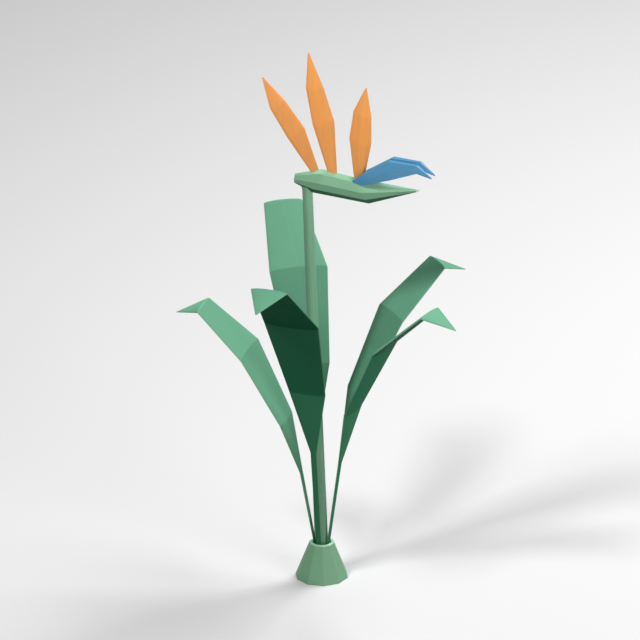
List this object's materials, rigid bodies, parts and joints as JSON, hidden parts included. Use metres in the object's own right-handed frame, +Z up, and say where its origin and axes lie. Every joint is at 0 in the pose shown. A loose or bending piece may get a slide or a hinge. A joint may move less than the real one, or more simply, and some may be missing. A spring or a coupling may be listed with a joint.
{
  "type": "bird of paradise flower",
  "caption": "Bird of paradise flower head with a green beak, upright orange sepals and a forked blue petal on a tall stem, with long folded leaves, standing in a small conical foot.",
  "frame": {"origin": "centre of the foot's flat underside", "axes": "+Z up along the stem, +X the way the beak and the blue petal point"},
  "size_m": [0.3562, 0.3755, 0.6845],
  "materials": {
    "foot": "matte",
    "stem": "satin",
    "leaf": "satin",
    "spathe": "satin",
    "sepal": "satin",
    "petal": "satin"
  },
  "bodies": {
    "root": {"foot": "foot", "stem": "stem", "leaf_left": "leaf", "leaf_back": "leaf", "leaf_right_back": "leaf", "leaf_right_front": "leaf", "leaf_front": "leaf", "spathe": "spathe", "sepal_left": "sepal", "sepal_middle": "sepal", "sepal_right": "sepal", "blue_petal": "petal"}
  },
  "joints": []
}
